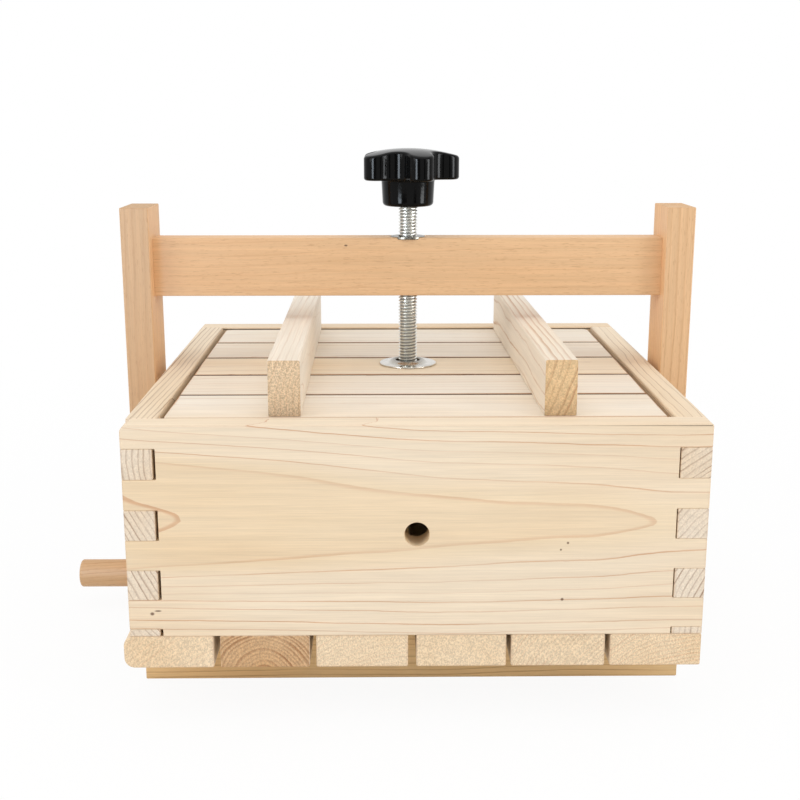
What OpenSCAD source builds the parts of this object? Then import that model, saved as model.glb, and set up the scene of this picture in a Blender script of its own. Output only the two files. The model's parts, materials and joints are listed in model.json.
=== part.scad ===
// Tofu press. A finger-jointed mould box stands on a slatted base. A slatted lid sits in its
// mouth, and a hand screw in a wooden frame drives the lid down. The frame goes round the box,
// and a rod through the feet of its uprights locks it under the base.
// Millimetres, +Z up. The origin is on the surface the press stands on, under the middle of
// its whole length and depth, the locking rod included.

/* [Mould box] */
// Width of the box, left to right
box_w = 245; // [200:1:300]
// Depth of the box, front to back
box_d = 245; // [200:1:300]
// Height of the box boards
box_h = 93; // [80:1:120]
// Thickness of the box boards
board_t = 13; // [10:0.5:16]
// Height of one finger of the corner joints
finger_h = 13.3; // [12:0.1:16]
// Height of the front board's top finger, above the side board's first one
top_finger_h = 10; // [8:0.5:14]
// Extra depth of the left sockets past the side board, an open slit in the joint
left_slit = 1.2; // [0.2:0.1:2]
// Extra depth of the right sockets past the side board
right_slit = 0.5; // [0.2:0.1:2]
// Diameter of the drain hole in the front board
drain_d = 10.5; // [6:0.5:14]
// Height of the drain hole's centre above the bottom of the box
drain_z = 45.5; // [30:0.5:60]
// Radius of the worn top left corner of the front board
worn_corner_r = 3; // [1:0.5:5]
// Rounding of the boards' top edges
board_ease = 0.8; // [0.3:0.1:1.5]

/* [Base] */
// Widths of the base slats, from the left
base_slat_w = [38.4, 38.2, 39.4, 38.6, 40.3, 39.2];
// Gaps between the base slats, from the left
base_gap = [2.9, 2.9, 3.6, 2.2, 2.3];
// Thickness of a slat, in the base and in the lid
slat_t = 14.5; // [10:0.5:18]
// How far the base stands to the left of the box
base_left = 1.5; // [0:0.5:3]
// Rounding of the outer left edge of the base
outer_slat_r = 4.5; // [2:0.5:6]
// Height of a batten under the base, on edge
batten_h = 25; // [18:0.5:30]
// Thickness of a batten, under the base and on the lid
batten_t = 14; // [10:0.5:16]
// Length of the battens under the base
base_batten_l = 248; // [200:1:300]
// How far these battens stand to the left of the box
base_batten_left = 1; // [0:0.5:3]
// Distance from the ends of the base slats to the battens' outer faces
batten_inset = 40; // [20:1:60]

/* [Lid] */
// Width of a lid slat
lid_slat_w = 41.15; // [36:0.05:44]
// Gap between two lid slats
lid_gap = 1.6; // [0.5:0.1:2]
// Clearance at each end of the lid slats
lid_end_gap = 2; // [1:0.1:4]
// Clearance behind the lid
lid_back_gap = 1; // [0.5:0.1:3]
// Depth of the lid's top below the rim of the box
lid_drop = 1.2; // [0:0.1:60]
// Rounding of the lid's back corners, seen from above
lid_corner_r = 5; // [2:0.5:10]
// Height of a lid batten, on edge
lid_batten_h = 24.5; // [18:0.5:30]
// Distance of the lid battens' ends from the lid's front and back
lid_batten_inset = 0.5; // [0:0.5:5]
// Distance of the left lid batten's middle from the box's middle
left_batten_x = 57; // [40:0.5:80]
// Turn of the left lid batten, its back end to the left, in degrees
left_batten_turn = 0.5; // [0:0.1:2]
// Distance of the right lid batten's middle from the box's middle
right_batten_x = 60; // [40:0.5:80]
// Turn of the right lid batten, its back end to the left, in degrees
right_batten_turn = 0.9; // [0:0.1:2]
// Outer diameter of the cupped washer
cup_d = 29; // [26:0.5:36]
// Diameter of the washer's hole
cup_hole_d = 12.2; // [11:0.1:13]
// Height of the washer's raised ring
cup_h = 2.6; // [2:0.1:4]
// Thickness of the washer's sheet
cup_t = 1; // [0.8:0.1:1.2]

/* [Frame] */
// Thickness of an upright, left to right
upright_t = 14; // [12:0.5:18]
// Width of an upright, front to back
upright_w = 30; // [26:0.5:40]
// Height of the uprights' tops above the ground
upright_top = 212; // [205:1:250]
// Gap between the box's sides and the uprights
frame_gap = 4.5; // [3:0.5:8]
// How far the frame stands to the left of the box's middle
frame_left = 1.5; // [0:0.5:2]
// How far the frame stands behind the box's middle
frame_back = 8; // [0:0.5:12]
// Height of the crossbar's underside above the ground
bar_z = 167.6; // [160:0.1:172]
// Height of the crossbar's section
bar_h = 29; // [24:0.5:32]
// Thickness of the crossbar, front to back
bar_t = 14; // [13:0.5:18]
// Diameter of the locking rod
rod_d = 14.5; // [10:0.5:16]
// How far the rod stands out on the left
rod_stub_left = 33; // [0:1:60]
// How far the rod stands out on the right
rod_stub_right = 14; // [0:1:30]

/* [Screw] */
// Outer diameter of the thread, 3/8 inch
screw_d = 9.525; // [8:0.005:10]
// Free length of the stud below the knob
stud_l = 80.3; // [60:0.1:90]
// Diameter over the knob's lobes
knob_d = 50.8; // [40:0.2:60]
// Number of lobes
lobes = 5; // [4:1:6]
// Radius of a lobe
lobe_r = 6.4; // [5:0.1:8.5]
// Distance from the knob's middle to the bottom of a hollow between two lobes
hollow_c = 16; // [14:0.1:17]
// Height of the knob's side, without its domed top
knob_side_h = 11.4; // [8:0.2:14]
// Height of the knob's dome
dome_h = 3.8; // [2:0.2:6]
// Diameter of the knob's hub
hub_d = 26.8; // [20:0.2:28]
// Height of the hub below the lobes
hub_h = 13; // [8:0.5:16]
// Outer diameter of the threaded insert's flange
flange_d = 17.2; // [15:0.2:20]
// How deep the flange is sunk into the crossbar
flange_sink = 0.9; // [0:0.1:1.2]

/* [Hidden] */
$fn = 64;

fir = [0.93, 0.87, 0.78];
fir_dark = [0.86, 0.77, 0.66];
beech = [0.86, 0.68, 0.48];
zinc = [0.72, 0.73, 0.72];
black = [0.05, 0.05, 0.05];

// Surfaces cut through each other run this far past the other one.
past = 1;
edge_r = 0.8;
frame_edge_r = 0.6;

// Levels above the ground
slat_z = batten_h;
box_z = slat_z + slat_t;
rim_z = box_z + box_h;
lid_top = rim_z - lid_drop;
lid_z = lid_top - slat_t;
bar_top = bar_z + bar_h;

// The box's middle stands to the right of the origin, by half of what the rod adds on the left.
frame_half = box_w / 2 + frame_gap + upright_t;
box_x = frame_left + (rod_stub_left - rod_stub_right) / 2;
frame_x = -frame_left;
frame_y = frame_back;

inner_x = box_w / 2 - board_t;
inner_y = box_d / 2 - board_t;

// Base
function sum_of(list, count) = count < 1 ? 0 : list[count - 1] + sum_of(list, count - 1);
base_slats = len(base_slat_w);
base_w = sum_of(base_slat_w, base_slats) + sum_of(base_gap, base_slats - 1);
base_x0 = -base_w / 2 - base_left;
batten_y = box_d / 2 - batten_inset - batten_t / 2;

// Lid
lid_slats = 5;
lid_pitch = lid_slat_w + lid_gap;
lid_l = 2 * (inner_x - lid_end_gap);
lid_back = inner_y - lid_back_gap;
lid_front = lid_back - lid_slats * lid_pitch + lid_gap;
lid_middle = (lid_front + lid_back) / 2;
lid_batten_l = lid_back - lid_front - 2 * lid_batten_inset;
// Each lid batten by its place and its turn
left_batten = [-left_batten_x, left_batten_turn];
right_batten = [right_batten_x, right_batten_turn];

// Frame
rod_drop = 0.4;
rod_z = slat_z - rod_drop - rod_d / 2;
rod_bore_gap = 0.08;
foot_z = 1.5;
rod_end_r = 1.2;
tenon_l = 10;
tenon_h = 20;
tenon_t = 7;

// Screw
insert_d = 12;
insert_l = 20;
flange_gap = 0.1;
insert_flange_t = 1.2;
screw_gap = 0.08;
tip_gap = 0.3;
tip_z = lid_top + tip_gap;
tip_chamfer = 0.9;
stud_in_knob = 19;
knob_z = tip_z + stud_l;
hub_taper = 0.7;
hub_edge_r = 2;
dome_r = (pow(knob_d / 2, 2) + pow(dome_h, 2)) / (2 * dome_h);
// The dome's seam is turned away from the middle of a lobe.
dome_turn = 10;

// A hollow is an arc round a point hollow_x from the knob's middle. It meets the lobes on
// both sides tangentially, so it is as much nearer to their middles as its own radius is
// smaller than the distance between the two. The small overlap keeps the arcs joined.
lobe_c = knob_d / 2 - lobe_r;
lobe_half = 180 / lobes;
hollow_k = lobe_r - hollow_c;
hollow_x = (pow(lobe_c, 2) - pow(hollow_k, 2)) / (2 * (hollow_k + lobe_c * cos(lobe_half)));
hollow_r = hollow_x - hollow_c;
hollow_overlap = 0.01;

// Nails
nail_d = 1.8;
nail_l = 32;
nail_head_d = 4;
nail_head_t = 0.8;

// Fingers of the side boards, each from its lower to its upper end, counted from the top
finger_count = ceil((box_h - top_finger_h) / (2 * finger_h));
side_fingers = [
    for (i = [0 : finger_count - 1])
        let (top = box_h - top_finger_h - 2 * i * finger_h)
            [max(0, top - finger_h), top],
];

// Moves a piece drawn round the box's middle to its place over the origin.
module placed() {
    translate([box_x, 0, 0]) children();
}

// Rectangle from the origin to [w, h] whose corners are rounded by r, which gives the radii
// lower left, lower right, upper left and upper right.
module eased_rect(w, h, r) {
    difference() {
        square([w, h]);
        for (sx = [0, 1], sy = [0, 1])
            if (r[sx + 2 * sy] > 0)
                translate([sx * w, sy * h])
                    mirror([sx, 0])
                        mirror([0, sy])
                            corner_waste(r[sx + 2 * sy]);
    }
}

// What is cut off a corner at the origin to leave a radius r.
module corner_waste(r) {
    difference() {
        translate([-past, -past]) square(r + past);
        translate([r, r]) circle(r);
    }
}

// Bar along +X with a w by h section in Y and Z.
module bar_x(l, w, h, r) {
    rotate([90, 0, 90]) linear_extrude(l) eased_rect(w, h, r);
}

// Bar along +Y with a w by h section in X and Z.
module bar_y(l, w, h, r) {
    translate([0, l, 0]) rotate([90, 0, 0]) linear_extrude(l) eased_rect(w, h, r);
}

// ---- Mould box ----

// Board across the front, with sockets for the side boards' fingers at both ends.
// corner_r gives the radii of its top left and top right corners.
module end_board(corner_r) {
    translate([-box_w / 2, 0, box_z])
        difference() {
            intersection() {
                bar_x(box_w, board_t, box_h, [0, 0, board_ease, board_ease]);
                rotate([90, 0, 0])
                    translate([0, 0, -board_t - past])
                        linear_extrude(board_t + 2 * past)
                            eased_rect(box_w, box_h, [0, 0, corner_r[0], corner_r[1]]);
            }
            for (f = side_fingers)
                translate([0, -past, 0]) {
                    end_socket(-past, board_t + left_slit + past, f);
                    end_socket(box_w - board_t - right_slit, board_t + right_slit + past, f);
                }
        }
}

// Socket for one finger f, from x on, l long.
module end_socket(x, l, f) {
    bottom = f[0] == 0 ? -past : f[0];
    translate([x, 0, bottom]) cube([l, board_t + 2 * past, f[1] - bottom]);
}

module front_board() {
    color(fir)
        placed()
            difference() {
                translate([0, -box_d / 2, 0]) end_board([worn_corner_r, 1]);
                translate([0, -box_d / 2 - past, box_z + drain_z])
                    rotate([-90, 0, 0]) cylinder(h = board_t + 2 * past, d = drain_d);
            }
}

module back_board() {
    color(fir)
        placed() translate([0, box_d / 2 - board_t, 0]) end_board([1, 1]);
}

// Side board with its fingers, its outer face at x = 0 and its body towards +X.
module side_board() {
    translate([0, board_t - box_d / 2, box_z])
        bar_y(box_d - 2 * board_t, board_t, box_h, [0, 0, board_ease, board_ease]);
    for (f = side_fingers)
        translate([0, -box_d / 2, box_z + f[0]]) cube([board_t, box_d, f[1] - f[0]]);
}

module left_board() {
    color(fir)
        placed() translate([-box_w / 2, 0, 0]) side_board();
}

module right_board() {
    color(fir)
        placed() translate([box_w / 2 - board_t, 0, 0]) side_board();
}

// ---- Base ----

// Where the nails of the base go in: two on each slat, one over each batten.
function base_slat_x(i) = base_x0 + sum_of(base_slat_w, i) + sum_of(base_gap, i);
base_nail_points = [
    for (i = [0 : base_slats - 1], y = [-batten_y, batten_y])
        [base_slat_x(i) + base_slat_w[i] / 2, y, box_z],
];

// Nail at the origin, driven down.
module nail() {
    translate([0, 0, -nail_l]) cylinder(h = nail_l, d = nail_d);
    translate([0, 0, -nail_head_t]) cylinder(h = nail_head_t, d = nail_head_d);
}

module base_slat(i) {
    left_r = i == 0 ? outer_slat_r : edge_r;
    color(i == 1 ? fir_dark : fir)
        placed()
            difference() {
                translate([base_slat_x(i), -box_d / 2, slat_z])
                    bar_y(box_d, base_slat_w[i], slat_t, [left_r, edge_r, left_r, edge_r]);
                for (p = base_nail_points) translate(p) nail();
            }
}

module base_batten(y) {
    color(fir)
        placed()
            difference() {
                translate([-base_batten_left - base_batten_l / 2, y - batten_t / 2, 0])
                    bar_x(base_batten_l, batten_t, batten_h, [edge_r, edge_r, edge_r, edge_r]);
                for (p = base_nail_points) translate(p) nail();
            }
}

module base_nails() {
    color(zinc)
        placed()
            for (p = base_nail_points) translate(p) nail();
}

// ---- Lid ----

function lid_slat_back(i) = lid_back - i * lid_pitch;
lid_nail_points = [
    for (i = [0 : lid_slats - 1], batten = [left_batten, right_batten])
        let (y = lid_slat_back(i) - lid_slat_w / 2)
            [batten[0] - (y - lid_middle) * tan(batten[1]), y, lid_z],
];

// Slat i of the lid, counted from the back. The lid's back corners are rounded off.
module lid_slat(i) {
    color(i == 2 ? fir_dark : fir)
        placed()
            difference() {
                intersection() {
                    translate([-lid_l / 2, lid_slat_back(i) - lid_slat_w, lid_z])
                        bar_x(lid_l, lid_slat_w, slat_t, [edge_r, edge_r, edge_r, edge_r]);
                    translate([-lid_l / 2, lid_front, lid_z - past])
                        linear_extrude(slat_t + 2 * past)
                            eased_rect(lid_l, lid_back - lid_front,
                                [edge_r, edge_r, lid_corner_r, lid_corner_r]);
                }
                for (p = lid_nail_points) translate(p) mirror([0, 0, 1]) nail();
            }
}

module lid_batten(batten) {
    color(fir)
        placed()
            difference() {
                translate([batten[0], lid_middle, lid_top])
                    rotate([0, 0, batten[1]])
                        translate([-batten_t / 2, -lid_batten_l / 2, 0])
                            bar_y(lid_batten_l, batten_t, lid_batten_h,
                                [edge_r, edge_r, edge_r, edge_r]);
                for (p = lid_nail_points) translate(p) mirror([0, 0, 1]) nail();
            }
}

module lid_nails() {
    color(zinc)
        placed()
            for (p = lid_nail_points) translate(p) mirror([0, 0, 1]) nail();
}

// Pressed washer: a flat rim that steps up to a rolled ring round its hole.
module screw_cup() {
    hole_r = cup_hole_d / 2;
    ring_r = hole_r + 1.2;
    step_r = hole_r + 3.4;
    color(zinc)
        placed()
            translate([frame_x, frame_y, lid_top])
                rotate_extrude()
                    polygon([
                        [cup_d / 2, 0],
                        [cup_d / 2, cup_t],
                        [step_r + 0.3, cup_t],
                        [ring_r + 0.9, cup_h - 0.2],
                        [ring_r, cup_h],
                        [hole_r + 0.4, cup_h - 0.1],
                        [hole_r, cup_h - 0.5],
                        [hole_r, cup_h - cup_t],
                        [ring_r, cup_h - cup_t],
                        [step_r - 0.5, 0],
                    ]);
}

// ---- Frame ----

// Upright with its inner face at x = 0 and its body towards +X.
module upright() {
    difference() {
        translate([0, -upright_w / 2, foot_z])
            linear_extrude(upright_top - foot_z)
                eased_rect(upright_t, upright_w,
                    [frame_edge_r, frame_edge_r, frame_edge_r, frame_edge_r]);
        translate([-past, 0, rod_z])
            rotate([0, 90, 0])
                cylinder(h = upright_t + 2 * past, d = rod_d + 2 * rod_bore_gap);
        translate([-past, -tenon_t / 2, bar_z + (bar_h - tenon_h) / 2])
            cube([tenon_l + past, tenon_t, tenon_h]);
    }
}

module left_upright() {
    color(beech)
        placed()
            translate([frame_x - frame_half + upright_t, frame_y, 0])
                mirror([1, 0, 0]) upright();
}

module right_upright() {
    color(beech)
        placed() translate([frame_x + frame_half - upright_t, frame_y, 0]) upright();
}

// Crossbar between the uprights, with a stub tenon at each end and a bore for the insert.
module crossbar() {
    span = 2 * (frame_half - upright_t);
    color(beech)
        placed()
            translate([frame_x, frame_y, bar_z])
                difference() {
                    union() {
                        translate([-span / 2, -bar_t / 2, 0])
                            bar_x(span, bar_t, bar_h,
                                [frame_edge_r, frame_edge_r, frame_edge_r, frame_edge_r]);
                        translate([-span / 2 - tenon_l, -tenon_t / 2, (bar_h - tenon_h) / 2])
                            cube([span + 2 * tenon_l, tenon_t, tenon_h]);
                    }
                    translate([0, 0, bar_h - flange_sink - insert_l])
                        cylinder(h = insert_l + flange_sink + past, d = insert_d);
                    translate([0, 0, bar_h - flange_sink])
                        cylinder(h = flange_sink + past, d = flange_d + 2 * flange_gap);
                    translate([0, 0, -past])
                        cylinder(h = bar_h + 2 * past, d = screw_d + 1);
                }
}

// Insert with a flange sunk into the crossbar's top; the stud turns in its bore.
module threaded_insert() {
    color(zinc)
        placed()
            translate([frame_x, frame_y, bar_top - flange_sink])
                difference() {
                    union() {
                        translate([0, 0, -insert_l]) cylinder(h = insert_l, d = insert_d);
                        cylinder(h = insert_flange_t, d = flange_d);
                    }
                    translate([0, 0, -insert_l - past])
                        cylinder(h = insert_l + 2 * past + insert_flange_t,
                            d = screw_d + 2 * screw_gap);
                }
}

// Dowel with rounded ends, along X.
module locking_rod() {
    l = 2 * frame_half + rod_stub_left + rod_stub_right;
    color(beech)
        placed()
            translate([frame_x - frame_half - rod_stub_left, frame_y, rod_z])
                rotate([0, 90, 0])
                    rotate_extrude()
                        eased_half(rod_d / 2, l, rod_end_r);
}

// Half section of a round bar from the axis outwards, both ends rounded by r.
module eased_half(w, l, r) {
    difference() {
        square([w, l]);
        translate([w, 0]) mirror([1, 0]) corner_waste(r);
        translate([w, l]) mirror([1, 0]) mirror([0, 1]) corner_waste(r);
    }
}

// ---- Screw ----

// Plain stud over the thread's outer diameter, with a chamfered tip.
module screw_stud() {
    r = screw_d / 2;
    color(zinc)
        placed()
            translate([frame_x, frame_y, tip_z])
                rotate_extrude()
                    polygon([
                        [0, 0],
                        [r - tip_chamfer, 0],
                        [r, tip_chamfer],
                        [r, stud_l + stud_in_knob],
                        [0, stud_l + stud_in_knob],
                    ]);
}

// Outline of the knob's head: round lobes joined by hollow arcs that meet them tangentially.
module knob_outline() {
    step = 360 / lobes;
    for (i = [0 : lobes - 1])
        rotate(i * step) {
            translate([lobe_c, 0]) circle(lobe_r);
            difference() {
                polygon([
                    [0, 0],
                    [lobe_c, 0],
                    [hollow_x * cos(lobe_half), hollow_x * sin(lobe_half)],
                    [lobe_c * cos(step), lobe_c * sin(step)],
                ]);
                rotate(lobe_half) translate([hollow_x, 0]) circle(hollow_r + hollow_overlap);
            }
        }
}

// Hub profile: slightly tapered, with a rounded lower edge.
module hub_profile() {
    r = hub_d / 2;
    low = r - hub_taper;
    difference() {
        polygon([[0, 0], [low, 0], [r, hub_h], [r - 1, hub_h + 1], [0, hub_h + 1]]);
        translate([low, 0]) mirror([1, 0]) corner_waste(hub_edge_r);
    }
}

module star_knob() {
    head_z = knob_z + hub_h;
    color(black)
        placed()
            translate([frame_x, frame_y, 0])
                difference() {
                    union() {
                        translate([0, 0, knob_z]) rotate_extrude() hub_profile();
                        intersection() {
                            translate([0, 0, head_z])
                                linear_extrude(knob_side_h + dome_h + past) knob_outline();
                            translate([0, 0, head_z + knob_side_h + dome_h - dome_r])
                                rotate([0, 0, dome_turn]) sphere(dome_r, $fn = 128);
                        }
                    }
                    translate([0, 0, knob_z - past])
                        cylinder(h = stud_in_knob + past, d = screw_d);
                }
}

front_board();
back_board();
left_board();
right_board();
base_slat(0);  // base_slat_1
base_slat(1);  // base_slat_2
base_slat(2);  // base_slat_3
base_slat(3);  // base_slat_4
base_slat(4);  // base_slat_5
base_slat(5);  // base_slat_6
base_batten(-batten_y);  // base_batten_front
base_batten(batten_y);  // base_batten_back
base_nails();
lid_slat(0);  // lid_slat_1
lid_slat(1);  // lid_slat_2
lid_slat(2);  // lid_slat_3
lid_slat(3);  // lid_slat_4
lid_slat(4);  // lid_slat_5
lid_batten(left_batten);  // lid_batten_left
lid_batten(right_batten);  // lid_batten_right
lid_nails();
screw_cup();
left_upright();
right_upright();
crossbar();
threaded_insert();
locking_rod();
screw_stud();
star_knob();
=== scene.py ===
# %% [markdown]
# # A wooden tofu press
# A finger-jointed box of pale fir stands on a slatted base. A battened lid lies in its mouth,
# and a hand screw in a beech frame presses the lid down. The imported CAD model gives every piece
# at its real size, and this lesson gives each piece its finish. Wood boards are re-made with
# softened edges, because a real board has no razor-sharp corner and its thin bright edge is what
# the eye reads as wood. The screw, knob and washer are built again as smooth, detailed meshes.

import json
import math

import bmesh
import bpy
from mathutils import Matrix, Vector


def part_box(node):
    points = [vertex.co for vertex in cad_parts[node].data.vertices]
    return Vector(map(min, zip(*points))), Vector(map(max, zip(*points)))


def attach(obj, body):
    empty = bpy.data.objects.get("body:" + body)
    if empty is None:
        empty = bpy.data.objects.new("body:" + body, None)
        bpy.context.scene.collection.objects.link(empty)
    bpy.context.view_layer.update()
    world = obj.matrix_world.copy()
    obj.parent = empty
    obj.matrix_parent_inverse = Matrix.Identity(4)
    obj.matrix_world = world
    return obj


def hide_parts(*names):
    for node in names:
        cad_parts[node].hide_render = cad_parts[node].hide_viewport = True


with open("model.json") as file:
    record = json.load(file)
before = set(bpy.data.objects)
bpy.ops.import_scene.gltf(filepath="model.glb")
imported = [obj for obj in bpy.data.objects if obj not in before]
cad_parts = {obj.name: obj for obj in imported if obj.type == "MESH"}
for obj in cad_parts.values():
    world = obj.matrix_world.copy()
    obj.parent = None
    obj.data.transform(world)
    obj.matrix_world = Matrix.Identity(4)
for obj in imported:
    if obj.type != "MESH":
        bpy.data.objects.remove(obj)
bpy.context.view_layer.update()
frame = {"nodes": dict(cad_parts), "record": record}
MM = 0.001
print("CAD nodes:", len(frame["nodes"]))

# %% [markdown]
# ## Helpers for shader nodes
# A node tree is easier to read as a formula. These helpers add one node each and return its
# output, so that a material can be written from the inside out. A value is either a number,
# which is set on the socket, or another node's output, which is linked to it.


# %% Node helpers
def feed(tree, socket, value):
    """Links a socket to another node's output, or sets it to a number, vector or colour."""
    if isinstance(value, bpy.types.NodeSocket):
        tree.links.new(value, socket)
    else:
        socket.default_value = value


def add_node(tree, kind, inputs=None, **settings):
    """Adds a node with its settings and inputs, which are keyed by socket name or number."""
    made = tree.nodes.new(kind)
    for name, value in settings.items():
        setattr(made, name, value)
    for key, value in (inputs or {}).items():
        feed(tree, made.inputs[key], value)
    return made


def calc(tree, operation, *values):
    """One Math node."""
    made = add_node(tree, "ShaderNodeMath", dict(enumerate(values)), operation=operation)
    return made.outputs[0]


def vector(tree, operation, *values):
    """One Vector Math node that gives a vector."""
    made = add_node(tree, "ShaderNodeVectorMath", dict(enumerate(values)), operation=operation)
    return made.outputs["Vector"]


def length(tree, value):
    """The length of a vector."""
    made = add_node(tree, "ShaderNodeVectorMath", {0: value}, operation="LENGTH")
    return made.outputs["Value"]


def split(tree, value):
    """The X, Y and Z of a vector."""
    made = add_node(tree, "ShaderNodeSeparateXYZ", {0: value})
    return [made.outputs[i] for i in range(3)]


def join(tree, x, y, z):
    """A vector from its three parts."""
    return add_node(tree, "ShaderNodeCombineXYZ", {0: x, 1: y, 2: z}).outputs[0]


def smooth(tree, value, low, high, to_low=0.0, to_high=1.0):
    """A smooth step: to_low up to low, to_high from high on."""
    made = add_node(
        tree,
        "ShaderNodeMapRange",
        {"Value": value, "From Min": low, "From Max": high, "To Min": to_low, "To Max": to_high},
        interpolation_type="SMOOTHSTEP",
    )
    return made.outputs["Result"]


def noise(tree, position, scale, detail=2.0, rough=0.5):
    """Fractal noise from 0 to 1, scale in cells per metre."""
    made = add_node(
        tree,
        "ShaderNodeTexNoise",
        {"Vector": position, "Scale": scale, "Detail": detail, "Roughness": rough},
    )
    return made.outputs["Fac"]


def blend(tree, factor, first, second, mode="MIX"):
    """Mixes two colours."""
    made = add_node(tree, "ShaderNodeMix", data_type="RGBA", blend_type=mode)
    feed(tree, made.inputs["Factor"], factor)
    feed(tree, made.inputs["A"], first)
    feed(tree, made.inputs["B"], second)
    return made.outputs["Result"]


def new_group(name, inputs, outputs):
    """An empty node group. Inputs and outputs are lists of (name, kind)."""
    tree = bpy.data.node_groups.new(name, "ShaderNodeTree")
    kinds = {"f": "NodeSocketFloat", "v": "NodeSocketVector"}
    for label, kind in inputs:
        tree.interface.new_socket(label, in_out="INPUT", socket_type=kinds[kind])
    for label, kind in outputs:
        tree.interface.new_socket(label, in_out="OUTPUT", socket_type=kinds[kind])
    start = tree.nodes.new("NodeGroupInput")
    end = tree.nodes.new("NodeGroupOutput")
    return tree, start.outputs, end.inputs


def use_group(tree, group, **inputs):
    """Places a node group. An input's name has _ for each space."""
    made = tree.nodes.new("ShaderNodeGroup")
    made.node_tree = group
    for key, value in inputs.items():
        feed(tree, made.inputs[key.replace("_", " ")], value)
    return made.outputs


def new_material(name):
    """A material without nodes, and its node tree."""
    material = bpy.data.materials.new(name)
    material.use_nodes = True
    material.node_tree.nodes.clear()
    return material, material.node_tree


def principled(tree, colour, roughness, bump, constants):
    """Ends a material in a Principled surface. bump is (strength, distance, height)."""
    bumped = add_node(tree, "ShaderNodeBump", dict(zip(("Strength", "Distance", "Height"), bump)))
    varied = {"Base Color": colour, "Roughness": roughness, "Normal": bumped.outputs[0]}
    skin = add_node(tree, "ShaderNodeBsdfPrincipled", {**varied, **constants})
    add_node(tree, "ShaderNodeOutputMaterial", {"Surface": skin.outputs[0]})


def new_object(name, data):
    """An object of a mesh, lamp or camera, put in the scene."""
    made = bpy.data.objects.new(name, data)
    bpy.context.scene.collection.objects.link(made)
    return made


def srgb(red, green, blue):
    """A colour picked on screen, 0 to 255, as the linear colour that the renderer needs."""
    channels = []
    for part in (red, green, blue):
        c = part / 255
        channels.append(c / 12.92 if c <= 0.04045 else ((c + 0.055) / 1.055) ** 2.4)
    return (*channels, 1.0)


# %% [markdown]
# ## Camera
# The photograph is taken from in front and a little above, close enough for strong perspective.
# The camera's place and angle come from fitting the box's corners, so the model can be laid over
# the photograph.

# %% Camera
CAMERA_PLACE = (-0.0024, -0.6056, 0.2584)
LOOK_DOWN = 13.42
LOOK_RIGHT = 0.74

camera_data = bpy.data.cameras.new("camera")
camera_data.sensor_width = 36.0
camera_data.lens = 54.7
camera = new_object("camera", camera_data)
camera.location = CAMERA_PLACE
camera.rotation_euler = (math.radians(90 - LOOK_DOWN), 0, math.radians(-LOOK_RIGHT))
bpy.context.scene.camera = camera
print("camera lens", camera_data.lens, "mm")

# %% [markdown]
# ## Light
# The picture is a white-background product shot: soft light from all round and no hard shadow.
# The world gives a strong even fill, and large soft boxes add a little direction. Only the camera
# and mirror-like rays see the world as white, so that the background is white without adding
# light to the wood.

# %% World and soft boxes
FILL = 0.76
PRESS_MIDDLE = Vector((0.01, 0.0, 0.12))


def build_world():
    """A world that is white to look at and gives light of the strength FILL."""
    world = bpy.data.worlds.new("studio")
    bpy.context.scene.world = world
    world.use_nodes = True
    tree = world.node_tree
    tree.nodes.clear()
    path = add_node(tree, "ShaderNodeLightPath").outputs
    seen = calc(tree, "MAXIMUM", path["Is Camera Ray"], path["Is Transmission Ray"])
    seen = calc(tree, "MAXIMUM", seen, path["Is Glossy Ray"])
    level = add_node(tree, "ShaderNodeMapRange", {"Value": seen, "To Min": FILL, "To Max": 1.0})
    white = {"Color": (1, 1, 1, 1), "Strength": level.outputs["Result"]}
    shade = add_node(tree, "ShaderNodeBackground", white)
    add_node(tree, "ShaderNodeOutputWorld", {"Surface": shade.outputs[0]})


def soft_box(name, place, width, height, power):
    """A rectangular lamp that points from its place at the middle of the press."""
    lamp = bpy.data.lights.new(name, "AREA")
    lamp.shape = "RECTANGLE"
    lamp.size = width
    lamp.size_y = height
    lamp.energy = power
    holder = new_object(name, lamp)
    holder.location = place
    holder.rotation_euler = (PRESS_MIDDLE - Vector(place)).to_track_quat("-Z", "Y").to_euler()


bpy.context.scene.view_settings.view_transform = "Standard"
build_world()
soft_box("soft_box_top", (0.0, -0.1, 1.5), 1.6, 1.4, 6.0)
soft_box("soft_box_left", (-1.5, -0.9, 0.8), 0.5, 1.0, 6.5)
soft_box("soft_box_right", (1.4, -0.95, 0.8), 0.5, 1.0, 6.5)
print("world and", len(bpy.data.lights), "soft boxes made")

# %% [markdown]
# Black plastic and bright metal have no look of their own: they show what stands round them.
# In a studio that is tall strip lights, which give the bright streaks, and the dark room behind
# the camera, which gives the deep black between them. The strips and the dark cards here are
# seen by mirror-like rays only, so they shape the shine and leave the light on the wood alone.

# %% What the shiny parts mirror
SHINE_ONLY = {
    "visible_camera": False, "visible_diffuse": False, "visible_shadow": False,
    "visible_transmission": False, "visible_volume_scatter": False,
}
SCREW_PLACE = (0.0095, 0.008)
CARD_GREY = (0.03, 0.03, 0.03, 1)


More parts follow.
